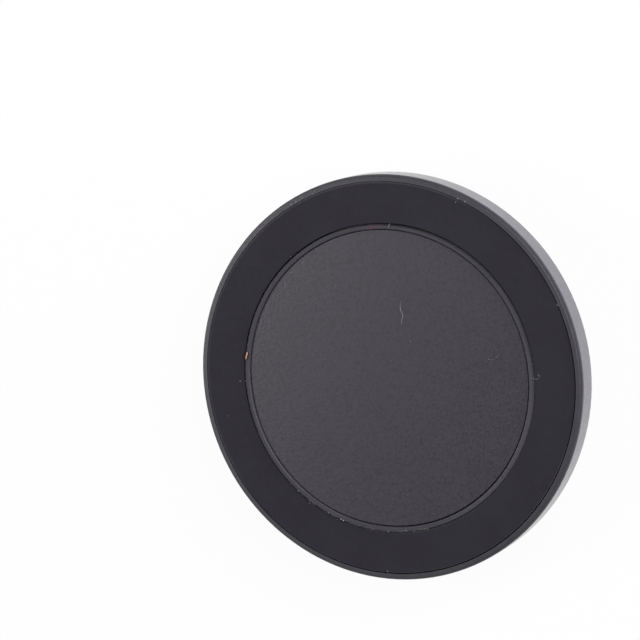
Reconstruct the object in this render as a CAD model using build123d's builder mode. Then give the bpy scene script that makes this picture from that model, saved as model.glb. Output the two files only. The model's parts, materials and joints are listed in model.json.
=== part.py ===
from build123d import *
from math import radians, sin, tan
import os

os.makedirs("parts", exist_ok=True)

# A magnetic tripod adapter: a round disc that holds a phone by a ring of magnets,
# with a collar and a threaded boss behind it for a tripod screw.
# All sizes are in millimetres. The adapter stands on the end of its collar at
# height 0 and its phone side faces up, so every height is measured from that end.

# Tripod thread and the metal insert that carries it
thread_diameter = 6.35
thread_clearance = 0.025
insert_wall = 1.2
insert_length = 8.0
insert_setback = 0.3
insert_clearance = 0.02
insert_lead_in = 0.5
knurl_count = 24
knurl_depth = 0.3
knurl_band_gap = 1.2

# Boss, collar and ribs at the rear
boss_wall = 1.1
screw_tip_room = 1.5
screw_tip_clearance = 0.6
boss_floor = 1.75
collar_inner_diameter = 30.0
collar_wall = 1.6
collar_end_rounding = 0.35
rib_count = 6
rib_thickness = 1.3
rib_setback = 0.4
recess_depth = 4.2
pocket_corner_radius = 0.6

# Shell behind the disc
shell_thickness = 2.0
neck_step = 0.4
neck_height = 4.25
neck_fillet = 3.6
dish_depth = 0.6
rim_rear_rounding = 0.3

# Magnet ring and the steel ring that it is set on
magnet_ring_inner_diameter = 46.0
magnet_width = 4.0
magnet_thickness = 2.0
magnet_count = 16
magnet_gap = 0.2
magnet_edge_break = 0.12
steel_ring_thickness = 0.4
channel_clearance = 0.05
channel_floor = 1.1

# Pad ring over the magnets, between the ridge and the lip
pad_thickness = 0.7
pad_inner_ledge_width = 0.2
pad_outer_ledge_width = 2.0
pad_recess = 0.2
pad_clearance = 0.12
pad_edge_rounding = 0.1
pad_adhesive_thickness = 0.15

# Lip around the pad ring and ridge around the front disc
lip_wall = 0.95
lip_chamfer_width = 0.3
lip_chamfer_height = 0.65
lip_edge_rounding = 0.15
rim_edge_rounding = 0.3
ridge_width = 0.75
ridge_rise = 0.2
ridge_rounding = 0.2

# Front disc inside the ridge
disc_thickness = 1.2
disc_recess = 0.4
disc_clearance = 0.12
disc_edge_rounding = 0.2
disc_adhesive_thickness = 0.15
disc_ledge_width = 1.6
adhesive_margin = 0.3

# The pad ring and the front disc are stuck on a little to one side: each moves by
# a share of its clearance, both in one direction
pad_shift_share = 0.95
disc_shift_share = 0.5
shift_direction = 50.0

# Radii of the insert and of the rear
thread_radius = thread_diameter / 2 + thread_clearance
insert_radius = thread_radius + insert_wall
insert_seat_radius = insert_radius + insert_clearance
screw_tip_radius = thread_radius + screw_tip_clearance
boss_radius = insert_seat_radius + boss_wall
collar_inner_radius = collar_inner_diameter / 2
collar_outer_radius = collar_inner_radius + collar_wall
neck_radius = collar_outer_radius + neck_step

# Radii of the front, outward from the magnet ring
magnet_inner_radius = magnet_ring_inner_diameter / 2
magnet_outer_radius = magnet_inner_radius + magnet_width
channel_outer_radius = magnet_outer_radius + channel_clearance
lip_inner_radius = channel_outer_radius + pad_outer_ledge_width
rim_radius = lip_inner_radius + lip_wall

# Radii of the front, inward from the magnet ring
channel_inner_radius = magnet_inner_radius - channel_clearance
ridge_outer_radius = channel_inner_radius - pad_inner_ledge_width
ridge_inner_radius = ridge_outer_radius - ridge_width
well_radius = ridge_inner_radius - disc_ledge_width

# Heights up the middle, from the collar's end to the top of the ridge
insert_seat_height = insert_setback + insert_length
screw_tip_height = insert_seat_height + screw_tip_room
disc_seat_height = screw_tip_height + boss_floor
disc_base_height = disc_seat_height + disc_adhesive_thickness
front_height = disc_base_height + disc_thickness + disc_recess

# Heights down the rim, from the top of the lip to the rear edge and the collar
lip_height = front_height - ridge_rise
pad_base_height = lip_height - pad_recess - pad_thickness
pad_ledge_height = pad_base_height - pad_adhesive_thickness
magnet_base_height = pad_ledge_height - magnet_thickness
channel_height = magnet_base_height - steel_ring_thickness
rim_rear_height = channel_height - channel_floor
dish_height = rim_rear_height - dish_depth
collar_height = dish_height - neck_height


# Housing: one moulding with the rim, the magnet channel, the dished back,
# the collar, and the ribs and boss inside the collar
profile = [
    ((0, 0), 0),
    ((collar_outer_radius, 0), collar_end_rounding),
    ((collar_outer_radius, collar_height), 0),
    ((neck_radius, collar_height), 0),
    ((neck_radius, dish_height), neck_fillet),
    ((rim_radius, rim_rear_height), rim_rear_rounding),
    ((rim_radius, lip_height - lip_chamfer_height), rim_edge_rounding),
    ((rim_radius - lip_chamfer_width, lip_height), lip_edge_rounding),
    ((lip_inner_radius, lip_height), 0),
    ((lip_inner_radius, pad_ledge_height), 0),
    ((channel_outer_radius, pad_ledge_height), 0),
    ((channel_outer_radius, channel_height), 0),
    ((channel_inner_radius, channel_height), 0),
    ((channel_inner_radius, pad_ledge_height), 0),
    ((ridge_outer_radius, pad_ledge_height), 0),
    ((ridge_outer_radius, front_height), ridge_rounding),
    ((ridge_inner_radius, front_height), ridge_rounding),
    ((ridge_inner_radius, disc_seat_height), 0),
    ((0, disc_seat_height), 0),
]
# Pockets between the ribs: height of the first face, wall radius and depth
rear_pocket = (0, collar_inner_radius, recess_depth)
inner_well_height = recess_depth + shell_thickness
inner_well = (inner_well_height, collar_inner_radius, disc_seat_height - inner_well_height)
outer_well_height = dish_height + shell_thickness
outer_well = (outer_well_height, well_radius, disc_seat_height - outer_well_height)

with BuildPart() as housing:
    with BuildSketch(Plane.XZ):
        with BuildLine():
            FilletPolyline(
                [point for point, rounding in profile],
                radius=[rounding for point, rounding in profile],
                close=True,
            )
        make_face()
    revolve(axis=Axis.Z)
    for height, wall_radius, depth in (rear_pocket, inner_well, outer_well):
        with BuildSketch(Plane.XY.offset(height)) as pockets:
            Circle(wall_radius)
            Circle(boss_radius, mode=Mode.SUBTRACT)
            with PolarLocations(0, rib_count):
                Rectangle(
                    2 * wall_radius, rib_thickness,
                    align=(Align.MIN, Align.CENTER), mode=Mode.SUBTRACT,
                )
            fillet(pockets.vertices(), pocket_corner_radius)
        extrude(amount=depth, mode=Mode.SUBTRACT)
    # The ribs stop short of the collar's end, the boss reaches it
    with BuildSketch():
        Circle(collar_inner_radius)
        Circle(boss_radius, mode=Mode.SUBTRACT)
    extrude(amount=rib_setback, mode=Mode.SUBTRACT)
    with BuildSketch():
        Circle(insert_seat_radius)
    extrude(amount=insert_seat_height, mode=Mode.SUBTRACT)
    with BuildSketch(Plane.XY.offset(insert_seat_height)):
        Circle(screw_tip_radius)
    extrude(amount=screw_tip_room, mode=Mode.SUBTRACT)
housing.part.label = "housing"
export_step(housing.part, "parts/housing.step")


# Threaded insert: a knurled bush in two bands, bored for the tripod screw
knurl_band = (insert_length - knurl_band_gap) / 2
with BuildPart() as threaded_insert:
    with BuildSketch(Plane.XY.offset(insert_setback)):
        Circle(insert_radius)
        Circle(thread_radius, mode=Mode.SUBTRACT)
    extrude(amount=insert_length)
    for height in (insert_setback, insert_setback + knurl_band + knurl_band_gap):
        with BuildSketch(Plane.XY.offset(height)):
            with PolarLocations(insert_radius, knurl_count):
                RegularPolygon(radius=knurl_depth, side_count=4)
        extrude(amount=knurl_band, mode=Mode.SUBTRACT)
    with BuildSketch(Plane.XY.offset(insert_setback + knurl_band)):
        Circle(insert_radius)
        Circle(insert_radius - knurl_depth, mode=Mode.SUBTRACT)
    extrude(amount=knurl_band_gap, mode=Mode.SUBTRACT)
    mouth = threaded_insert.faces().sort_by(Axis.Z)[0]
    chamfer(mouth.inner_wires()[0].edges(), insert_lead_in)
threaded_insert.part.label = "threaded_insert"
export_step(threaded_insert.part, "parts/threaded_insert.step")


# Steel ring at the bottom of the channel
with BuildPart() as steel_ring:
    with BuildSketch(Plane.XY.offset(channel_height)):
        Circle(magnet_outer_radius)
        Circle(magnet_inner_radius, mode=Mode.SUBTRACT)
    extrude(amount=steel_ring_thickness)
steel_ring.part.label = "steel_ring"
export_step(steel_ring.part, "parts/steel_ring.step")


# Magnets: arcs of one ring, with parallel gaps between them
magnet_pitch = 360 / magnet_count
half_pitch = radians(magnet_pitch / 2)
wedge_tip = magnet_gap / 2 / sin(half_pitch)
wedge_end = 2 * magnet_outer_radius
wedge_half_width = (wedge_end - wedge_tip) * tan(half_pitch)
for number in range(magnet_count):
    magnet_plane = Plane.XY.offset(magnet_base_height).rotated((0, 0, number * magnet_pitch))
    with BuildPart() as magnet:
        with BuildSketch(magnet_plane):
            Circle(magnet_outer_radius)
            Circle(magnet_inner_radius, mode=Mode.SUBTRACT)
            Polygon(
                (wedge_tip, 0), (wedge_end, -wedge_half_width), (wedge_end, wedge_half_width),
                align=None, mode=Mode.INTERSECT,
            )
        extrude(amount=magnet_thickness)
        chamfer(magnet.edges(), magnet_edge_break)
    magnet.part.label = f"magnet_{number + 1:02d}"
    export_step(magnet.part, f"parts/{magnet.part.label}.step")


# Pad ring and its adhesive, set a little to one side within their clearance
pad_inner_radius = ridge_outer_radius + pad_clearance
pad_outer_radius = lip_inner_radius - pad_clearance
pad_centre = Vector(pad_clearance * pad_shift_share, 0).rotate(Axis.Z, shift_direction)

with BuildPart() as pad_adhesive:
    with BuildSketch(Plane.XY.offset(pad_ledge_height)):
        with Locations(pad_centre):
            Circle(pad_outer_radius - adhesive_margin)
            Circle(pad_inner_radius + adhesive_margin, mode=Mode.SUBTRACT)
    extrude(amount=pad_adhesive_thickness)
pad_adhesive.part.label = "pad_adhesive"
export_step(pad_adhesive.part, "parts/pad_adhesive.step")

with BuildPart() as pad_ring:
    with BuildSketch(Plane.XY.offset(pad_base_height)):
        with Locations(pad_centre):
            Circle(pad_outer_radius)
            Circle(pad_inner_radius, mode=Mode.SUBTRACT)
    extrude(amount=pad_thickness)
    fillet(pad_ring.faces().sort_by(Axis.Z)[-1].edges(), pad_edge_rounding)
pad_ring.part.label = "pad_ring"
export_step(pad_ring.part, "parts/pad_ring.step")


# Front disc and the ring of adhesive that holds it on its ledge
disc_radius = ridge_inner_radius - disc_clearance
disc_centre = Vector(disc_clearance * disc_shift_share, 0).rotate(Axis.Z, shift_direction)

with BuildPart() as disc_adhesive:
    with BuildSketch(Plane.XY.offset(disc_seat_height)):
        with Locations(disc_centre):
            Circle(disc_radius - adhesive_margin)
            Circle(well_radius + adhesive_margin, mode=Mode.SUBTRACT)
    extrude(amount=disc_adhesive_thickness)
disc_adhesive.part.label = "disc_adhesive"
export_step(disc_adhesive.part, "parts/disc_adhesive.step")

with BuildPart() as front_disc:
    with BuildSketch(Plane.XY.offset(disc_base_height)):
        with Locations(disc_centre):
            Circle(disc_radius)
    extrude(amount=disc_thickness)
    fillet(front_disc.faces().sort_by(Axis.Z)[-1].edges(), disc_edge_rounding)
front_disc.part.label = "front_disc"
export_step(front_disc.part, "parts/front_disc.step")
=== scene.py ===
import json
import random
from math import atan2, cos, hypot, pi, radians, sin, sqrt

import bmesh
import bpy
from mathutils import Matrix, Vector, noise
from mathutils.bvhtree import BVHTree


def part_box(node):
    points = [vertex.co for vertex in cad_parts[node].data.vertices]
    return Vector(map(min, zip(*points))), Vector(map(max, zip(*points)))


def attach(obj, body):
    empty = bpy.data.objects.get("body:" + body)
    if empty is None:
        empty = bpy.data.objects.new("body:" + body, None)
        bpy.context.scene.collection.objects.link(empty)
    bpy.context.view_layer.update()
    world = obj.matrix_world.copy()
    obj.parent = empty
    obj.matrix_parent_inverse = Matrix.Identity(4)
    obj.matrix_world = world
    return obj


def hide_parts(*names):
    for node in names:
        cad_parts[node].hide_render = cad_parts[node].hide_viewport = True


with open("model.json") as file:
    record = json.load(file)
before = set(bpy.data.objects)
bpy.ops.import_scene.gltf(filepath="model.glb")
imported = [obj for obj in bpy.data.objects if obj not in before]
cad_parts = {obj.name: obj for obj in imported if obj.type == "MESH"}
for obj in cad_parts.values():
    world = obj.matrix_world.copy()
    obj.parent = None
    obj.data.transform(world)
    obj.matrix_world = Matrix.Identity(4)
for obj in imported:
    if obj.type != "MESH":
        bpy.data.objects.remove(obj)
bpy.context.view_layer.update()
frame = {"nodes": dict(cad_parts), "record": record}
nodes = frame["nodes"]
mounts = {mount["name"]: mount for mount in frame["record"]["mounts"]}

# Lengths are in metres, as the frame's are, and MM turns millimetres into them
MM = 0.001
BODY = "root"

# Camera: where the photograph was taken from, seen from the middle of the front. Angles are in degrees,
# the sensor and the lens in millimetres, and the photograph's side in pixels
CAMERA_DISTANCE = 0.48
CAMERA_ELEVATION = 65.935
CAMERA_ROLL = 247.661
CAMERA_TURN = (1.1582, 1.0333)
SENSOR_WIDTH = 36.0
LENS = 184.91
PHOTO_SIZE = 640

# Edges: how many steps round off an edge of the front disc or the pad ring
EDGE_STEPS = 5

# Front disc: its mesh and the rounding of its edge
DISC_CELLS = 260
DISC_EDGE = 0.04 * MM

# Leather grain: the size and depth of its pebbles, the band where it fades out at the disc's edge, and
# the seed that its bends come from
GRAIN_SIZE = 0.5 * MM
GRAIN_DEPTH = 0.006 * MM
GRAIN_FADE = 0.3 * MM
GRAIN_SEED = 1

# Leather grain, in sizes of a pebble: how far its pattern is bent, and over what size, and how wide a
# crease is. Then, as shares of its depth: how high a pebble rises from a crease, how deep a crease sinks,
# and the roughness on the pebbles, which is as many times finer as its scale
GRAIN_BEND = 0.3
GRAIN_BEND_SIZE = 1.7
CREASE_WIDTH = 0.4
PEBBLE_RISE = 1.4
CREASE_SINK = 0.9
PEBBLE_ROUGHNESS = 0.5
PEBBLE_ROUGHNESS_SCALE = 1.9

# Pad ring: its mesh, the rounding of its edges and the waves in its face
PAD_SEGMENTS = 720
PAD_EDGE = 0.05 * MM
PAD_FACE_RINGS = 24
WAVE_SIZE = 5.0 * MM
WAVE_DEPTH = 0.01 * MM

# Tripod thread, 1/4 inch with 20 threads to the inch: its ridge's half width at its foot and its crest
# as shares of the pitch, and the turns over which it runs out
THREAD_PITCH = 1.27 * MM
THREAD_DEPTH = 0.62 * MM
THREAD_MARGIN = 0.35 * MM
THREAD_BITE = 0.02 * MM
THREAD_HALF_FOOT = 7 / 16
THREAD_HALF_CREST = 1 / 8
THREAD_STEPS = 96
THREAD_RUN_OUT = 0.4

# Base colours, as the record states them
HOUSING_COLOR = (0.042, 0.039, 0.051)
PAD_COLOR = (0.025, 0.023, 0.031)
DISC_COLOR = (0.035, 0.031, 0.043)
INSERT_COLOR = (0.62, 0.61, 0.59)
STEEL_COLOR = (0.55, 0.55, 0.55)
MAGNET_COLOR = (0.66, 0.64, 0.6)
FILM_COLOR = (0.1, 0.1, 0.1)

# Colours of the side wall's painted reflection, of the pale speckles on the lip, of wear, of dirt and dust,
# and of the painted light on the pad ring's edges
WALL_PAINTED_REFLECTION = (0.071, 0.067, 0.094)
PALE_SPECKLE_COLOR = (0.15, 0.145, 0.165)
RUB_COLOR = (0.090, 0.036, 0.040)
FAINT_COLOR = (0.15, 0.145, 0.155)
PALE_COLOR = (0.30, 0.29, 0.29)
CRUMB_COLOR = (0.13, 0.125, 0.135)
PAD_PAINTED_LIGHT_COLOR = (0.075, 0.072, 0.082)
SEAM_DUST_COLOR = (0.12, 0.117, 0.125)
FLECK_COLOR = (0.50, 0.34, 0.28)
FLECK_RIM_COLOR = (0.045, 0.014, 0.010)

# The levels that most of a noise lies between, and those between which rings, pale speckles, dust, the
# painted shade of creases and the pale grains of dirt begin
MIDDLE = (0.3, 0.7)
RING_LEVELS = (0.42, 0.6)
PALE_SPECKLE_LEVELS = (0.54, 0.64)
DUST_LEVELS = (0.35, 0.6)
CREASE_LEVELS = (0.34, 0.56)
DIRT_LEVELS = (0.35, 0.65)

# Places on the housing. A span is the two lengths between which a factor grows from 0 to 1: heights over
# the collar's end, radii, or depths under a top
FRONT_HEIGHTS = (12.0 * MM, 12.4 * MM)
SEAM_FLOOR_HEIGHTS = (11.2 * MM, 11.6 * MM)
SEAM_TOP_DEPTHS = (0.05 * MM, 0.15 * MM)
RIDGE_SHOULDER_RADII = (22.47 * MM, 22.65 * MM)
RIM_RADII = (23 * MM, 25 * MM)
LIP_INNER_RADII = (28.9 * MM, 29.0 * MM)
LIP_OUTER_RADII = (29.6 * MM, 29.35 * MM)
OUTSIDE_RADII = (29.62 * MM, 29.76 * MM)
CHAMFER_DEPTHS = (0.25 * MM, 1.0 * MM)

# How high the lip stands over the pad ring, and the ridge's outer radius
LIP_RISE = 0.2 * MM
RIDGE_OUTER = 22.75 * MM

# Colours as shares of the base colour: the rim's rings on the housing, and the painted shade in its seams,
# on its chamfer and on the ridge's shoulder, and in the creases and on the wall of the front disc
RING_SHADES = (0.75, 1.3)
SEAM_PAINTED_SHADE = 0.15
CHAMFER_PAINTED_SHADE = 0.5
SHOULDER_PAINTED_SHADE = 0.3
CREASE_PAINTED_SHADE = 0.4
DISC_WALL_PAINTED_SHADE = 0.2

# How strongly the painted shade darkens a crease, from its middle out
CREASE_FADE = (0.55, 0.0)

# What places of the housing add to its roughness, and the coat that it has all over and what they add
DULLNESS = {"ridge": 0.28, "chamfer": 0.35}
COAT = 0.15
GLOSS = {"rim": 0.25, "wall": 0.6, "chamfer": -0.3, "shoulder": -0.15}

# Sides where something shows: an azimuth in degrees, and a span of distances from the axis towards it.
# The ridge's shoulder has painted shade, dust lies on the ridge, painted light lies on the pad ring's inner
# edge beside it and on its outer edge where it is pressed against the lip, and the seam beside the pad ring
# is filled with dust
SHOULDER_SIDE = (-62, (9 * MM, 19 * MM))
RIDGE_DUST_SIDE = (-135, (13 * MM, 21 * MM))
INNER_LIGHT_SIDE = (-150, (6 * MM, 18 * MM))
PRESSED_SIDE = (25, (2 * MM, 12 * MM))
FILLED_SIDE = (175, (12 * MM, 22 * MM))

# Dust and painted light: the least and most share of dust on the ridge and of painted light on the pad
# ring's outer edge, the share of painted light on its inner edge, how far in from the edges that lies, and
# how far in the seam's filling of dust reaches
RIDGE_DUST = (0.04, 0.14)
OUTER_PAINTED_LIGHT = (0.5, 1.0)
INNER_PAINTED_LIGHT = 0.35
PAINTED_LIGHT_BAND = 0.4 * MM
SEAM_BAND = 0.03 * MM

# Pale speckles and wear: pixels of the photograph where the lip has pale speckles and the ridge is rubbed,
# the distances from there over which that fades, its share near and far, and the strength of the speckles
PALE_SPECKLED_LIP = (285, 198)
PALE_SPECKLE_REACH = (6 * MM, 12 * MM)
PALE_SPECKLE_FADE = (1.0, 0.12)
PALE_SPECKLE_SHARE = 0.7
RUBBED_RIDGE = (374, 226)
RUB_REACH = (0.4 * MM, 1.6 * MM)
RUB_FADE = (0.3, 0.0)

# Lint: pixels of the photograph that each fibre passes through, its radius, and in radii how high its
# ends are lifted and how much more its middle is
LINT = {
    "lint_long": [(400.5, 301), (400.4, 309.2), (402.0, 312.6), (403.0, 316.5), (401.8, 321), (401.9, 325)],
    "lint_on_ridge": [(386.6, 230.5), (388.4, 227.5), (389.2, 224.6), (391.2, 223.4)],
}
FAINT_LINT = {
    "lint_curl": [(486.5, 358), (490, 359.8), (494, 359.3), (497.2, 357), (499.8, 354)],
    "lint_by_ridge": [(528.4, 378.6), (532, 378), (536.5, 379.4), (539.4, 376.5), (538, 373.6)],
}
LINT_RADIUS = 0.035 * MM
LINT_END_LIFT = 0.9
LINT_LIFT = 0.6

# Tubes: their sides, the steps between two points of their line, and how their ends narrow
TUBE_SIDES = 8
LINE_STEPS = 8
TUBE_TIP = 0.25
TUBE_TAPER = 4

# Specks and bits in the seams: pixels of the photograph, each with its size beside the others
SPECK_SIZE = 0.10 * MM
SPECKS = [
    (457.8, 198.7, 1.1), (455.7, 202.2, 0.9), (465.0, 201.6, 1.25), (298.4, 490.9, 0.95),
    (309.5, 503.2, 0.6), (343.4, 520.5, 1.45), (341.0, 519.2, 1.1), (337.0, 519.4, 0.4),
    (387.8, 571.6, 1.05), (240.2, 381.0, 0.85), (228.0, 416.0, 0.5), (538.2, 375.2, 0.5),
    (391.0, 361.0, 0.4), (410.0, 341.2, 0.5), (285.2, 284.0, 0.6), (291.2, 272.6, 0.8),
    (277.5, 295.4, 0.6), (302.3, 262.6, 0.55), (388.1, 531.4, 0.85), (405.8, 530.8, 0.7),
]
SPECK_SEED = 3
SEAM_BIT_SIZE = 0.16 * MM
SEAM_BITS = [
    (270.4, 283.4, 1.3), (290.8, 256.8, 0.5), (533.8, 261.2, 0.7), (557.4, 305.0, 1.2),
    (245.9, 381.0, 0.8),
]
SEAM_BIT_SEED = 5

# Crumbs along the ridge's outer edge: the photograph's pixels between which they are strewn
CRUMBS_FROM = (290, 480)
CRUMBS_TO = (428, 530)
CRUMB_COUNT = 260
CRUMB_SPREAD = 0.10 * MM
CRUMB_SIZES = (0.03 * MM, 0.09 * MM)
CRUMB_PLACE_SEED = 11
CRUMB_SHAPE_SEED = 7

# Shape of every speck, bit and crumb beside its size: its length, width and height, the depth and
# closeness of its lumps, and how far its middle stands out, as a share of its height
CRUMB_LENGTH = (0.8, 1.3)
CRUMB_WIDTH = (0.7, 1.1)
CRUMB_HEIGHT = 0.5
LUMP_DEPTH = 0.35
LUMP_SCALE = 1.6
CRUMB_RISE = 0.2

# Fleck on the ridge: pixels of the photograph along it, its radius and its flatness, and its two layers,
# each with its width beside the radius, its height over the ridge and its colour
FLECK = [(247.0, 351.9), (246.9, 354.0), (246.3, 356.4), (245.8, 359.6)]
FLECK_RADIUS = 0.11 * MM
FLECK_FLATNESS = 0.2
FLECK_LAYERS = [("fleck_rim", 3.7, 0.0, FLECK_RIM_COLOR), ("fleck", 1.0, 0.08 * MM, FLECK_COLOR)]

# Floor: half of its side, its colour, and the share of white that it shows
FLOOR_REACH = 4.0
FLOOR_COLOR = (0.9, 0.9, 0.9)
FLOOR_WHITE = 0.95

# World: its strength at the horizon and overhead, how far a ray rises there, and the white that it shows
WORLD_STRENGTH = (0.5, 0.45)
WORLD_RISE = (0.0, 0.9)
WORLD_WHITE = 0.955

# Lamps: name, place and sides in metres, and power in watts, all aimed at one point
LAMPS = [
    ("soft_box", (0.14, 0.265, 0.34), (0.2, 0.2), 0.80),
    ("fill", (0.08, -0.42, 0.5), (0.6, 0.6), 4.5),
    ("side_strip", (0.0, -0.7, 0.12), (0.9, 0.2), 3.3),
]
LAMP_TARGET = (0, 0, 0.01)


def ring_of(name):
    """Centre, inner and outer radius, bottom and top of a round piece."""
    low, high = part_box(name)
    centre = (low + high) / 2
    radii = [hypot(v.co.x - centre.x, v.co.y - centre.y) for v in nodes[name].data.vertices]
    return centre, min(radii), max(radii), low.z, high.z


disc_centre, _, disc_radius, disc_bottom, disc_top = ring_of("front_disc")
pad_centre, pad_inner, pad_outer, pad_bottom, pad_top = ring_of("pad_ring")
insert_low, insert_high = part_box("threaded_insert")
ridge_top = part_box("housing")[1].z
lip_top = pad_top + LIP_RISE


# Camera

def turned(vector, axis, degrees):
    return Matrix.Rotation(radians(degrees), 3, axis) @ vector


def camera_frame():
    """Right, up, back and place of the camera, turned so that the disc lies off the picture's middle."""
    elevation = radians(CAMERA_ELEVATION)
    back = Vector((0, -cos(elevation), sin(elevation)))
    place = Vector((0, 0, ridge_top)) + CAMERA_DISTANCE * back
    right = turned(Vector((1, 0, 0)), back, CAMERA_ROLL)
    up = back.cross(right)
    turn = Matrix.Rotation(radians(CAMERA_TURN[0]), 3, up)
    turn = turn @ Matrix.Rotation(radians(CAMERA_TURN[1]), 3, right)
    return turn @ right, turn @ up, turn @ back, place


def make_camera():
    data = bpy.data.cameras.new("camera")
    data.lens = LENS
    data.sensor_width = SENSOR_WIDTH
    camera = bpy.data.objects.new("camera", data)
    axes = Matrix((camera_right, camera_up, camera_back)).transposed()
    camera.matrix_world = Matrix.Translation(camera_place) @ axes.to_4x4()
    bpy.context.scene.collection.objects.link(camera)
    bpy.context.scene.camera = camera


def photo_point(pixel, height):
    """The point at that height which the photograph shows at that pixel."""
    focal = LENS / SENSOR_WIDTH * PHOTO_SIZE
    across = (pixel[0] - PHOTO_SIZE / 2) / focal
    along = (PHOTO_SIZE / 2 - pixel[1]) / focal
    ray = across * camera_right + along * camera_up - camera_back
    return camera_place + ray * ((height - camera_place.z) / ray.z)


camera_right, camera_up, camera_back, camera_place = camera_frame()
make_camera()


# Materials

class Nodes:
    """A node tree, and short ways to add nodes to it."""

    def __init__(self, tree):
        self.tree = tree

    def add(self, kind, **values):
        node = self.tree.nodes.new(kind)
        for name, value in values.items():
            setattr(node, name, value)
        return node

    def link(self, source, target):
        self.tree.links.new(source, target)

    def math(self, operation, *values):
        node = self.add("ShaderNodeMath", operation=operation)
        for socket, value in zip(node.inputs, values):
            if isinstance(value, (int, float)):
                socket.default_value = value
            else:
                self.link(value, socket)
        return node.outputs["Value"]

    def times(self, product, *factors):
        for factor in factors:
            product = self.math("MULTIPLY", product, factor)
        return product

    def ramp(self, value, span, to=(0.0, 1.0), interpolation="SMOOTHSTEP"):
        """Maps one range to another, smoothly if not told otherwise, and holds the ends."""
        node = self.add("ShaderNodeMapRange", interpolation_type=interpolation)
        self.link(value, node.inputs["Value"])
        node.inputs["From Min"].default_value = span[0]
        node.inputs["From Max"].default_value = span[1]
        node.inputs["To Min"].default_value = to[0]
        node.inputs["To Max"].default_value = to[1]
        return node.outputs["Result"]

    def show(self, shader, background, kinds, share, output):
        """Gives an output the shader, and to rays of some kinds a share of the background instead."""
        path = self.add("ShaderNodeLightPath")
        seen = path.outputs[kinds[0]]
        for kind in kinds[1:]:
            seen = self.math("MAXIMUM", seen, path.outputs[kind])
        mix = self.add("ShaderNodeMixShader")
        self.link(self.times(seen, share), mix.inputs["Fac"])
        self.link(shader, mix.inputs[1])
        self.link(background, mix.inputs[2])
        self.link(mix.outputs["Shader"], self.tree.nodes[output].inputs["Surface"])


class Shader(Nodes):
    """A node material with a Principled shader, and short ways to vary it over the surface."""

    def __init__(self, name, base, roughness=0.5, metallic=0.0, specular=0.5):
        self.material = bpy.data.materials.new(name)
        self.material.use_nodes = True
        super().__init__(self.material.node_tree)
        self.shader = self.tree.nodes["Principled BSDF"]
        self.base = base
        self.set("Base Color", (*base, 1))
        self.set("Roughness", roughness)
        self.set("Metallic", metallic)
        self.set("Specular IOR Level", specular)
        self.point = self.add("ShaderNodeTexCoord").outputs["Object"]

    def set(self, socket, value):
        self.shader.inputs[socket].default_value = value

    def vary(self, socket, output):
        self.link(output, self.shader.inputs[socket])

    def noise(self, size, detail=3.0, roughness=0.5, vector=None):
        """Noise from 0 to 1, whose lumps are about that size."""
        node = self.add("ShaderNodeTexNoise")
        node.inputs["Scale"].default_value = 1 / size
        node.inputs["Detail"].default_value = detail
        node.inputs["Roughness"].default_value = roughness
        self.link(vector or self.point, node.inputs["Vector"])
        return node.outputs["Fac"]

    def mix(self, factor, low, high):
        """Mixes two colours by a factor."""
        node = self.add("ShaderNodeMix", data_type="RGBA")
        self.link(factor, node.inputs["Factor"])
        for socket, value in ((node.inputs["A"], low), (node.inputs["B"], high)):
            if isinstance(value, tuple):
                socket.default_value = (*value, 1)
            else:
                self.link(value, socket)
        return node.outputs["Result"]

    def shade(self, share):
        """The base colour times a share."""
        return tuple(channel * share for channel in self.base)

    def mottle(self, size, dark, light, detail=4.0, roughness=0.5, span=MIDDLE):
        """The base colour, mottled between two shares of it."""
        lumps = self.ramp(self.noise(size, detail, roughness), span)
        return self.mix(lumps, self.shade(dark), self.shade(light))

    def mottled_roughness(self, size, low, high, detail=4.0):
        return self.ramp(self.noise(size, detail), MIDDLE, (low, high))

    def vector_math(self, operation, first, second=None):
        node = self.add("ShaderNodeVectorMath", operation=operation)
        self.link(first, node.inputs[0])
        if second is not None:
            node.inputs[1].default_value = second
        return node.outputs

    def distance(self, centre=(0, 0, 0), flat=True):
        """Distance from a point, or if flat, from the upright line through it."""
        shift = self.vector_math("SUBTRACT", self.point, tuple(centre))["Vector"]
        spread = self.vector_math("MULTIPLY", shift, (1, 1, 0 if flat else 1))["Vector"]
        return self.vector_math("LENGTH", spread)["Value"]

    def height(self):
        """Height over the collar's end."""
        split = self.add("ShaderNodeSeparateXYZ")
        self.link(self.point, split.inputs["Vector"])
        return split.outputs["Z"]

    def side(self, azimuth, span):
        """Grows from 0 to 1 over a span of distances from the axis towards an azimuth."""
        direction = (cos(radians(azimuth)), sin(radians(azimuth)), 0)
        return self.ramp(self.vector_math("DOT_PRODUCT", self.point, direction)["Value"], span)

    def bump(self, height, depth):
        node = self.add("ShaderNodeBump")
        node.inputs["Distance"].default_value = depth
        self.link(height, node.inputs["Height"])
        self.vary("Normal", node.outputs["Normal"])


def under(top, depths):
    """The heights at two depths under a top."""
    return top - depths[0], top - depths[1]


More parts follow.
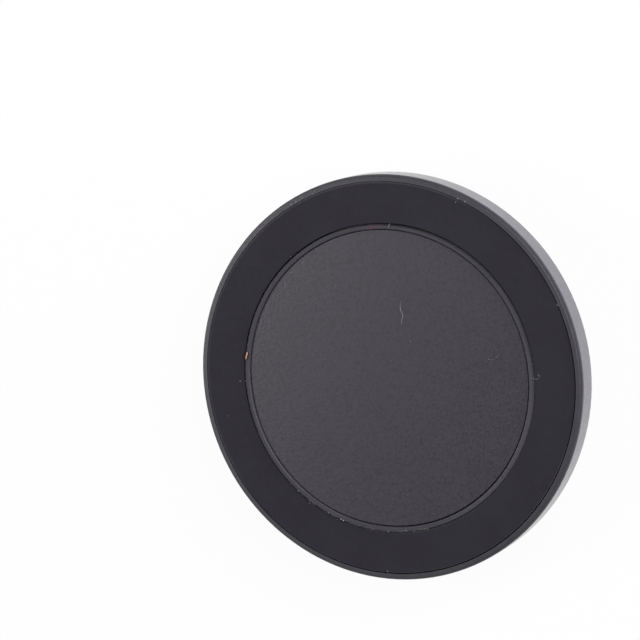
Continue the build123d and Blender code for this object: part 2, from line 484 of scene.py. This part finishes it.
def housing_places(s):
    """Factors that are 1 in each named place of the housing and 0 elsewhere."""
    radius, height = s.distance(), s.height()
    front = s.ramp(height, FRONT_HEIGHTS)
    outside = s.ramp(radius, OUTSIDE_RADII)
    wall = s.times(outside, s.ramp(height, under(lip_top, CHAMFER_DEPTHS)))
    rim = s.math("MAXIMUM", s.times(s.ramp(radius, RIM_RADII), front), outside)
    ridge = s.math("MAXIMUM", s.math("SUBTRACT", front, rim), 0.0)
    off_shoulder = s.ramp(radius, tuple(reversed(RIDGE_SHOULDER_RADII)))
    shoulder = s.math("SUBTRACT", s.ramp(radius, RIDGE_SHOULDER_RADII), rim)
    return {
        "wall": wall,
        "chamfer": s.math("SUBTRACT", outside, wall),
        "rim": rim,
        "ridge": ridge,
        "seams": s.times(
            s.ramp(height, under(disc_top, SEAM_TOP_DEPTHS)), s.ramp(height, SEAM_FLOOR_HEIGHTS)
        ),
        "shoulder": s.times(shoulder, s.side(*SHOULDER_SIDE), front),
        "lip": s.times(s.ramp(radius, LIP_INNER_RADII), s.ramp(radius, LIP_OUTER_RADII), front),
        "dusty_ridge": s.times(ridge, s.side(*RIDGE_DUST_SIDE), off_shoulder),
    }


def housing_color(s, places):
    """Mottled plastic with fine rings on its rim, painted shade in the seams, on the chamfer and on the
    ridge's shoulder, a wall made paler by a painted reflection, then pale speckles on the lip, wear and
    dust.
    """
    body = s.mottle(size=9 * MM, dark=0.92, light=1.08)
    rings = s.ramp(s.noise(size=0.12 * MM, vector=s.distance()), RING_LEVELS)
    rings = s.times(rings, s.noise(size=1.5 * MM, detail=5))
    ringed = s.mix(rings, s.shade(RING_SHADES[0]), s.shade(RING_SHADES[1]))
    body = s.mix(places["rim"], body, ringed)
    # Painted shade in the seams: their walls below the disc's top are darkened
    body = s.mix(places["seams"], body, s.shade(SEAM_PAINTED_SHADE))
    # Painted shade on the chamfer under the lip
    body = s.mix(places["chamfer"], body, s.shade(CHAMFER_PAINTED_SHADE))
    # Painted reflection: the side wall is paler than the housing's base colour
    body = s.mix(places["wall"], body, WALL_PAINTED_REFLECTION)
    # Painted shade on one side of the ridge's outer shoulder
    body = s.mix(places["shoulder"], body, s.shade(SHOULDER_PAINTED_SHADE))
    # Pale speckles on the lip, fading with distance from one place
    pale_speckles = s.ramp(s.noise(size=0.4 * MM, detail=5, roughness=0.7), PALE_SPECKLE_LEVELS)
    speckled_side = s.ramp(s.distance(photo_point(PALE_SPECKLED_LIP, lip_top)), PALE_SPECKLE_REACH, PALE_SPECKLE_FADE)
    body = s.mix(s.times(places["lip"], pale_speckles, speckled_side, PALE_SPECKLE_SHARE), body, PALE_SPECKLE_COLOR)
    dust = s.ramp(s.noise(size=0.4 * MM, detail=5), DUST_LEVELS, RIDGE_DUST)
    body = s.mix(s.times(dust, places["dusty_ridge"]), body, FAINT_COLOR)
    rub = s.distance(photo_point(RUBBED_RIDGE, ridge_top), flat=False)
    return s.mix(s.ramp(rub, RUB_REACH, RUB_FADE), body, RUB_COLOR)


def housing_plastic():
    """Moulded black plastic: dull on the ridge and the chamfer, satin on the lip, glossy on the wall."""
    s = Shader("housing_plastic", HOUSING_COLOR)
    s.set("Coat Roughness", 0.2)
    places = housing_places(s)
    s.vary("Base Color", housing_color(s, places))
    roughness = s.mottled_roughness(size=1.5 * MM, low=0.45, high=0.55, detail=5)
    for place, share in DULLNESS.items():
        roughness = s.math("ADD", roughness, s.times(places[place], share))
    s.vary("Roughness", roughness)
    coat = COAT
    for place, share in GLOSS.items():
        coat = s.math("ADD", coat, s.times(places[place], share))
    s.vary("Coat Weight", coat)
    s.bump(s.noise(size=0.16 * MM, detail=2), depth=0.004 * MM)
    return s.material


def pad_rubber():
    """Matte black rubber with painted light along its edges on two sides, and dust filling the seam on one
    side.
    """
    s = Shader("pad_rubber", PAD_COLOR, specular=0.18)
    radius = s.distance(pad_centre)
    body = s.mottle(size=5 * MM, dark=0.93, light=1.05, detail=5, roughness=0.6)
    # Painted light: the outer edge is paler and speckled on the pressed side, and the inner edge paler on
    # another
    grains = s.ramp(s.noise(size=0.3 * MM, detail=4), MIDDLE, OUTER_PAINTED_LIGHT)
    outer_edge = s.ramp(radius, (pad_outer - PAINTED_LIGHT_BAND, pad_outer))
    outer_light = s.times(outer_edge, s.side(*PRESSED_SIDE), grains)
    inner_edge = s.ramp(radius, (pad_inner + PAINTED_LIGHT_BAND, pad_inner))
    inner_light = s.times(inner_edge, s.side(*INNER_LIGHT_SIDE), INNER_PAINTED_LIGHT)
    body = s.mix(s.math("MAXIMUM", outer_light, inner_light), body, PAD_PAINTED_LIGHT_COLOR)
    wall = s.ramp(radius, (pad_outer - 2 * SEAM_BAND, pad_outer - SEAM_BAND))
    s.vary("Base Color", s.mix(s.times(wall, s.side(*FILLED_SIDE)), body, SEAM_DUST_COLOR))
    s.vary("Roughness", s.mottled_roughness(size=0.8 * MM, low=0.68, high=0.78))
    s.bump(s.noise(size=0.1 * MM), depth=0.004 * MM)
    return s.material


def disc_grain():
    """Dark grey sheet with a fine leather grain, and painted shade in its creases and on its edge wall."""
    s = Shader("disc_grain", DISC_COLOR, specular=0.6)
    body = s.mottle(size=7 * MM, dark=0.96, light=1.04, detail=5, roughness=0.65)
    # Painted shade in the creases of the grain
    creases = s.ramp(s.noise(size=0.45 * MM, detail=4, roughness=0.65), CREASE_LEVELS, CREASE_FADE)
    body = s.mix(creases, body, s.shade(CREASE_PAINTED_SHADE))
    # Painted shade on the disc's edge wall
    wall = s.ramp(s.distance(disc_centre), (disc_radius - DISC_EDGE, disc_radius - DISC_EDGE / 2))
    s.vary("Base Color", s.mix(wall, body, s.shade(DISC_WALL_PAINTED_SHADE)))
    s.vary("Roughness", s.mottled_roughness(size=0.4 * MM, low=0.38, high=0.46))
    s.bump(s.noise(size=0.14 * MM, detail=4, roughness=0.6), depth=0.003 * MM)
    return s.material


def turned_metal(name, base, roughness):
    """Plated metal with fine rings round the axis."""
    s = Shader(name, base, metallic=1.0)
    s.vary("Base Color", s.mottle(size=1.5 * MM, dark=0.85, light=1.05))
    s.vary("Roughness", s.mottled_roughness(size=1.5 * MM, low=roughness - 0.06, high=roughness + 0.1))
    s.bump(s.noise(size=0.05 * MM, detail=2, vector=s.distance()), depth=0.004 * MM)
    return s.material


def dull_film(name, base):
    """Adhesive film with faint mottling."""
    s = Shader(name, base, roughness=0.6, specular=0.3)
    s.vary("Base Color", s.mottle(size=2 * MM, dark=0.85, light=1.15))
    s.bump(s.noise(size=0.3 * MM), depth=0.01 * MM)
    return s.material


def dirt(name, base):
    """Dull dirt whose colour varies from grain to grain."""
    s = Shader(name, base, roughness=0.85, specular=0.2)
    s.vary("Base Color", s.mottle(size=0.08 * MM, dark=0.7, light=1.2, detail=3, span=DIRT_LEVELS))
    return s.material


slot_materials = {
    "housing_plastic": housing_plastic(),
    "insert_metal": turned_metal("insert_metal", INSERT_COLOR, roughness=0.3),
    "ring_steel": turned_metal("ring_steel", STEEL_COLOR, roughness=0.35),
    "magnet_plating": turned_metal("magnet_plating", MAGNET_COLOR, roughness=0.28),
    "adhesive_film": dull_film("adhesive_film", FILM_COLOR),
    "pad_rubber": pad_rubber(),
    "disc_grain": disc_grain(),
}
for subpart in frame["record"]["subparts"]:
    node_mesh = nodes[subpart["node"]].data
    node_mesh.materials.clear()
    node_mesh.materials.append(slot_materials[subpart["material_slot"]])


# Pieces

def add_piece(name, mesh, material):
    piece = bpy.data.objects.new(name, mesh)
    bpy.context.scene.collection.objects.link(piece)
    mesh.materials.append(material)
    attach(piece, BODY)
    return piece


def mesh_from(name, points, faces, smooth=True):
    mesh = bpy.data.meshes.new(name)
    mesh.from_pydata(points, [], faces)
    mesh.validate()
    mesh.update()
    if smooth:
        mesh.shade_smooth()
    else:
        mesh.shade_flat()
    return mesh


def quarter_turn():
    """How far in and how far down a rounded edge lies at each step, in its radii, from its foot up."""
    angles = [pi / 2 * step / EDGE_STEPS for step in range(EDGE_STEPS + 1)]
    return [(1 - cos(angle), 1 - sin(angle)) for angle in angles]


# Front disc

def leather(x, y):
    """Height of the leather grain, from -1 at its creases to 1."""
    place = Vector((x, y, 0)) / GRAIN_SIZE
    place += GRAIN_BEND * noise.noise_vector(place / GRAIN_BEND_SIZE)
    near, next_near = noise.voronoi(place)[0][:2]
    pebble = min((next_near - near) / CREASE_WIDTH, 1.0)
    rough = PEBBLE_ROUGHNESS * noise.noise(place * PEBBLE_ROUGHNESS_SCALE)
    return max(-1.0, min(1.0, PEBBLE_RISE * pebble - CREASE_SINK + rough))


def disc_grid(flat):
    """Points, faces and border of a round grid, from a square one whose corners are drawn in."""
    points, faces = [], []
    for i in range(DISC_CELLS + 1):
        for j in range(DISC_CELLS + 1):
            a, b = 2 * i / DISC_CELLS - 1, 2 * j / DISC_CELLS - 1
            x, y = flat * a * sqrt(1 - b * b / 2), flat * b * sqrt(1 - a * a / 2)
            fade = min(1.0, (flat - hypot(x, y)) / GRAIN_FADE)
            height = disc_top - GRAIN_DEPTH * (1 - leather(x, y) * fade)
            points.append((disc_centre.x + x, disc_centre.y + y, height))
    row = DISC_CELLS + 1
    for i in range(DISC_CELLS):
        for j in range(DISC_CELLS):
            corner = i * row + j
            faces.append((corner, corner + row, corner + row + 1, corner + 1))
    last = DISC_CELLS
    border = [i * row for i in range(last)] + [last * row + j for j in range(last)]
    border += [i * row + last for i in range(last, 0, -1)] + list(range(last, 0, -1))
    return points, faces, border


def grained_disc():
    """The front disc: a grained face, a rounded edge, a plain wall and a flat underside."""
    noise.seed_set(GRAIN_SEED)
    points, faces, border = disc_grid(disc_radius - DISC_EDGE)
    face_height = disc_top - GRAIN_DEPTH
    section = [
        (disc_radius - DISC_EDGE * inward, face_height - DISC_EDGE * down)
        for inward, down in reversed(quarter_turn()[:-1])
    ]
    section.append((disc_radius, disc_bottom))
    for radius, height in section:
        ring = []
        for index in border:
            out = (Vector(points[index]) - disc_centre).xy.normalized()
            ring.append(len(points))
            points.append((disc_centre.x + radius * out.x, disc_centre.y + radius * out.y, height))
        for k, index in enumerate(border):
            after = (k + 1) % len(border)
            faces.append((index, ring[k], ring[after], border[after]))
        border = ring
    faces.append(tuple(reversed(border)))
    mesh = mesh_from("grained_disc", points, faces)
    mesh.polygons[-1].use_smooth = False
    piece = add_piece("grained_disc", mesh, slot_materials["disc_grain"])
    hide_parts("front_disc")


# Pad ring

def pad_section():
    """The pad ring's section, counterclockwise, with rounded upper edges."""
    section = [(pad_inner, pad_bottom), (pad_outer, pad_bottom)]
    for inward, down in quarter_turn():
        section.append((pad_outer - PAD_EDGE * inward, pad_top - PAD_EDGE * down))
    outer, inner = pad_outer - PAD_EDGE, pad_inner + PAD_EDGE
    for ring in range(1, PAD_FACE_RINGS):
        section.append((outer + (inner - outer) * ring / PAD_FACE_RINGS, pad_top))
    for inward, down in reversed(quarter_turn()):
        section.append((pad_inner + PAD_EDGE * inward, pad_top - PAD_EDGE * down))
    return section


def soft_pad():
    """The pad ring, whose face lies in faint waves."""
    section = pad_section()
    count = len(section)
    points, faces = [], []
    for i in range(PAD_SEGMENTS):
        angle = 2 * pi * i / PAD_SEGMENTS
        for radius, height in section:
            x, y = pad_centre.x + radius * cos(angle), pad_centre.y + radius * sin(angle)
            if height > pad_top - PAD_EDGE:
                wave = noise.noise(Vector((x, y, 0)) / WAVE_SIZE)
                height -= WAVE_DEPTH * (1 + wave) / 2
            points.append((x, y, height))
    for i in range(PAD_SEGMENTS):
        this, after = i * count, (i + 1) % PAD_SEGMENTS * count
        for j in range(count):
            k = (j + 1) % count
            faces.append((this + j, after + j, after + k, this + k))
    mesh = mesh_from("soft_pad", points, faces)
    piece = add_piece("soft_pad", mesh, slot_materials["pad_rubber"])
    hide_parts("pad_ring")


# Tripod thread

def tripod_thread():
    """The right-handed thread inside the insert, which runs out at both ends."""
    wall = mounts["tripod_thread"]["dims"]["r_mm"] * MM
    half_foot, half_crest = THREAD_PITCH * THREAD_HALF_FOOT, THREAD_PITCH * THREAD_HALF_CREST
    low = insert_low.z + THREAD_MARGIN + half_foot
    high = insert_high.z - THREAD_MARGIN - half_foot
    turns = (high - low) / THREAD_PITCH
    count = round(turns * THREAD_STEPS)
    foot = wall + THREAD_BITE
    corners = 4
    points, faces = [], []
    for i in range(count + 1):
        turn = turns * i / count
        crest = wall - THREAD_DEPTH * min(1.0, turn / THREAD_RUN_OUT, (turns - turn) / THREAD_RUN_OUT)
        height = low + THREAD_PITCH * turn
        out = Vector((cos(2 * pi * turn), sin(2 * pi * turn), 0))
        section = [(foot, -half_foot), (crest, -half_crest), (crest, half_crest), (foot, half_foot)]
        for radius, rise in section:
            points.append(radius * out + Vector((0, 0, height + rise)))
    for i in range(count):
        this, after = corners * i, corners * (i + 1)
        for j in range(corners):
            k = (j + 1) % corners
            faces.append((this + j, this + k, after + k, after + j))
    faces.append(tuple(reversed(range(corners))))
    faces.append(tuple(corners * count + j for j in range(corners)))
    mesh = mesh_from("tripod_thread", points, faces, smooth=False)
    add_piece("tripod_thread", mesh, slot_materials["insert_metal"])


# Dirt

def smooth_line(points):
    """Points along a smooth line through the given ones."""
    ends = [2 * points[0] - points[1], *points, 2 * points[-1] - points[-2]]
    line = []
    for before, start, end, after in zip(ends, ends[1:], ends[2:], ends[3:]):
        for step in range(LINE_STEPS):
            t = step / LINE_STEPS
            bend = 2 * before - 5 * start + 4 * end - after
            twist = 3 * (start - end) + after - before
            line.append(start + t / 2 * ((end - before) + t * (bend + t * twist)))
    line.append(points[-1])
    return line


def tube(name, line, radius):
    """A closed tube along a line, thin at both ends."""
    points, faces = [], []
    last = len(line) - 1
    for i, place in enumerate(line):
        along = (line[min(i + 1, last)] - line[max(i - 1, 0)]).normalized()
        across = along.cross(Vector((0, 0, 1))).normalized()
        over = across.cross(along)
        width = radius * min(1.0, TUBE_TIP + TUBE_TAPER * min(i, last - i) / last)
        for side in range(TUBE_SIDES):
            angle = 2 * pi * side / TUBE_SIDES
            points.append(place + width * (cos(angle) * across + sin(angle) * over))
    for i in range(last):
        this, after = i * TUBE_SIDES, (i + 1) * TUBE_SIDES
        for side in range(TUBE_SIDES):
            beside = (side + 1) % TUBE_SIDES
            faces.append((this + side, this + beside, after + beside, after + side))
    faces.append(tuple(reversed(range(TUBE_SIDES))))
    faces.append(tuple(last * TUBE_SIDES + side for side in range(TUBE_SIDES)))
    mesh = mesh_from(name, points, faces)
    shell = bmesh.new()
    shell.from_mesh(mesh)
    bmesh.ops.recalc_face_normals(shell, faces=shell.faces)
    shell.to_mesh(mesh)
    shell.free()
    return mesh


def front_surface():
    """The surface that dirt lies on: the housing, the pad ring and the front disc."""
    points, faces = [], []
    for mesh in (nodes["housing"].data, bpy.data.meshes["soft_pad"], bpy.data.meshes["grained_disc"]):
        start = len(points)
        points += [vertex.co.copy() for vertex in mesh.vertices]
        faces += [[start + index for index in polygon.vertices] for polygon in mesh.polygons]
    return BVHTree.FromPolygons(points, faces)


def face_point(pixel):
    """Where the photograph's ray through that pixel meets the front surface."""
    return surface.ray_cast(camera_place, photo_point(pixel, 0) - camera_place)[0]


def lint(name, pixels, material):
    """A fibre that lies on the face, lifted a little between its ends."""
    line = smooth_line([face_point(pixel) for pixel in pixels])
    for i, place in enumerate(line):
        place.z += LINT_RADIUS * (LINT_END_LIFT + LINT_LIFT * sin(pi * i / (len(line) - 1)))
    add_piece(name, tube(name, line, LINT_RADIUS), material)


def crumbs(name, spots, material, seed):
    """Irregular crumbs, half sunk in what they lie on, from their places and sizes."""
    draw = random.Random(seed)
    heap = bmesh.new()
    for place, size in spots:
        stretch = Vector((draw.uniform(*CRUMB_LENGTH), draw.uniform(*CRUMB_WIDTH), CRUMB_HEIGHT)) * size
        turn = Matrix.Rotation(draw.uniform(0, pi), 3, "Z")
        new = bmesh.ops.create_icosphere(heap, subdivisions=2, radius=1.0)["verts"]
        for vertex in new:
            lump = 1 + LUMP_DEPTH * noise.noise(vertex.co * LUMP_SCALE + place / MM)
            shape = turn @ Vector(side * reach for side, reach in zip(vertex.co * lump, stretch))
            vertex.co = place + shape + Vector((0, 0, CRUMB_RISE * stretch.z))
    mesh = bpy.data.meshes.new(name)
    heap.to_mesh(mesh)
    heap.free()
    mesh.shade_smooth()
    add_piece(name, mesh, material)


def spots_at(marks, size):
    """Places and sizes of crumbs, from pixels with a share of the size."""
    return [(face_point((x, y)), size * share) for x, y, share in marks]


def spots_along_ridge(seed):
    """Crumbs strewn along the ridge's outer edge on the side where the photograph shows them."""
    draw = random.Random(seed)
    start, end = (photo_point(pixel, ridge_top) for pixel in (CRUMBS_FROM, CRUMBS_TO))
    first, last = atan2(start.y, start.x), atan2(end.y, end.x)
    if last < first:
        last += 2 * pi
    spots = []
    for _ in range(CRUMB_COUNT):
        angle = draw.uniform(first, last)
        radius = RIDGE_OUTER + draw.gauss(0, CRUMB_SPREAD)
        above = Vector((radius * cos(angle), radius * sin(angle), 2 * ridge_top))
        spots.append((surface.ray_cast(above, Vector((0, 0, -1)))[0], draw.uniform(*CRUMB_SIZES)))
    return spots


def fleck():
    """A pale sliver with a rust brown rim, stuck on the outer edge of the ridge."""
    for name, width, rise, color in FLECK_LAYERS:
        height = ridge_top + rise
        line = smooth_line([photo_point(pixel, height) for pixel in FLECK])
        mesh = tube(name, line, FLECK_RADIUS * width)
        for vertex in mesh.vertices:
            vertex.co.z = height + (vertex.co.z - height) * FLECK_FLATNESS
        add_piece(name, mesh, dirt(name, color))


grained_disc()
soft_pad()
tripod_thread()
surface = front_surface()
pale_dirt = dirt("pale_dirt", PALE_COLOR)
faint_dirt = dirt("faint_dirt", FAINT_COLOR)
for lints, lint_material in ((LINT, pale_dirt), (FAINT_LINT, faint_dirt)):
    for lint_name, lint_pixels in lints.items():
        lint(lint_name, lint_pixels, lint_material)
crumbs("specks", spots_at(SPECKS, SPECK_SIZE), pale_dirt, SPECK_SEED)
crumbs("seam_bits", spots_at(SEAM_BITS, SEAM_BIT_SIZE), faint_dirt, SEAM_BIT_SEED)
crumb_dirt = dirt("crumb_dirt", CRUMB_COLOR)
crumbs("ridge_crumbs", spots_along_ridge(CRUMB_PLACE_SEED), crumb_dirt, CRUMB_SHAPE_SEED)
fleck()


# Stage

def make_floor():
    """A pale floor that keeps the shadow, and shows nearly white to the camera and in reflections."""
    corners = [(x * FLOOR_REACH, y * FLOOR_REACH, 0) for x, y in ((-1, -1), (1, -1), (1, 1), (-1, 1))]
    mesh = mesh_from("floor", corners, [(0, 1, 2, 3)])
    floor = bpy.data.objects.new("floor", mesh)
    bpy.context.scene.collection.objects.link(floor)
    s = Shader("floor", FLOOR_COLOR, roughness=0.9, specular=0.1)
    white = s.add("ShaderNodeEmission")
    white.inputs["Strength"].default_value = 1.0
    kinds = ("Is Camera Ray", "Is Glossy Ray", "Is Transmission Ray")
    s.show(s.shader.outputs["BSDF"], white.outputs["Emission"], kinds, FLOOR_WHITE, "Material Output")
    mesh.materials.append(s.material)


def make_world():
    """Dim light from all round, a little stronger at the horizon, which shows white to the camera."""
    world = bpy.data.worlds.new("studio")
    bpy.context.scene.world = world
    world.use_nodes = True
    s = Nodes(world.node_tree)
    light = s.tree.nodes["Background"]
    split = s.add("ShaderNodeSeparateXYZ")
    s.link(s.add("ShaderNodeTexCoord").outputs["Generated"], split.inputs["Vector"])
    strength = s.ramp(split.outputs["Z"], WORLD_RISE, WORLD_STRENGTH, interpolation="LINEAR")
    s.link(strength, light.inputs["Strength"])
    white = s.add("ShaderNodeBackground")
    white.inputs["Color"].default_value = (1, 1, 1, 1)
    white.inputs["Strength"].default_value = WORLD_WHITE
    kinds = ("Is Camera Ray", "Is Transmission Ray")
    s.show(light.outputs["Background"], white.outputs["Background"], kinds, 1.0, "World Output")


def add_lamp(name, place, size, power):
    data = bpy.data.lights.new(name, "AREA")
    data.shape = "RECTANGLE"
    data.size, data.size_y = size
    data.energy = power
    lamp = bpy.data.objects.new(name, data)
    lamp.location = place
    lamp.rotation_euler = (Vector(place) - Vector(LAMP_TARGET)).to_track_quat("Z", "Y").to_euler()
    bpy.context.scene.collection.objects.link(lamp)


make_floor()
make_world()
for lamp_values in LAMPS:
    add_lamp(*lamp_values)
bpy.context.scene.view_settings.view_transform = "Standard"
